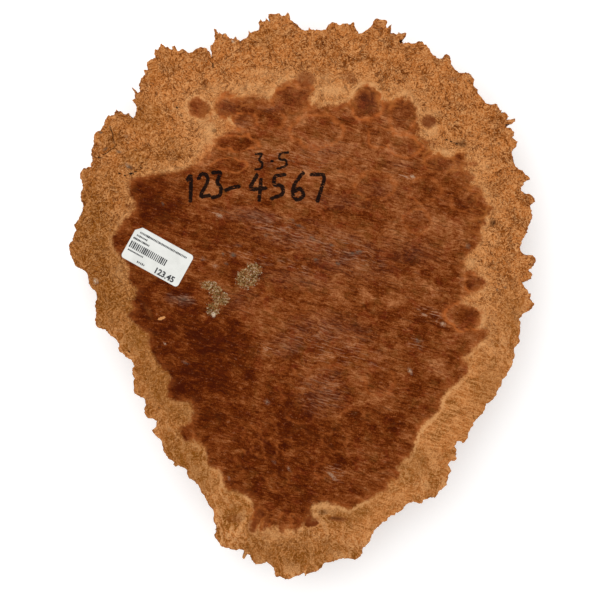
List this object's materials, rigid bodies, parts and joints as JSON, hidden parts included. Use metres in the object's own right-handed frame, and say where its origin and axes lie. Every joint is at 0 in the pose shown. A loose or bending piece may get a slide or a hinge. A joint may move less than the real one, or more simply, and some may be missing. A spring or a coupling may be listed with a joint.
{
  "type": "burl block",
  "caption": "Thick slice of a tree burl, sawn flat front and back, with its natural spiny live edge all round and a paper sticker on the front; raw stock for turning and carving.",
  "frame": {"origin": "on the sawn back face, under the middle of the whole block's box", "axes": "+Z out of the front face, +Y along the block's length towards its wide spiny end, +X across it"},
  "size_m": [0.413, 0.502, 0.0636],
  "materials": {
    "burl_wood": "sawn and lightly sealed, satin",
    "sticker_paper": "smooth white label paper"
  },
  "bodies": {
    "root": {"burl_block": "burl_wood", "paper_sticker": "sticker_paper"}
  },
  "joints": []
}
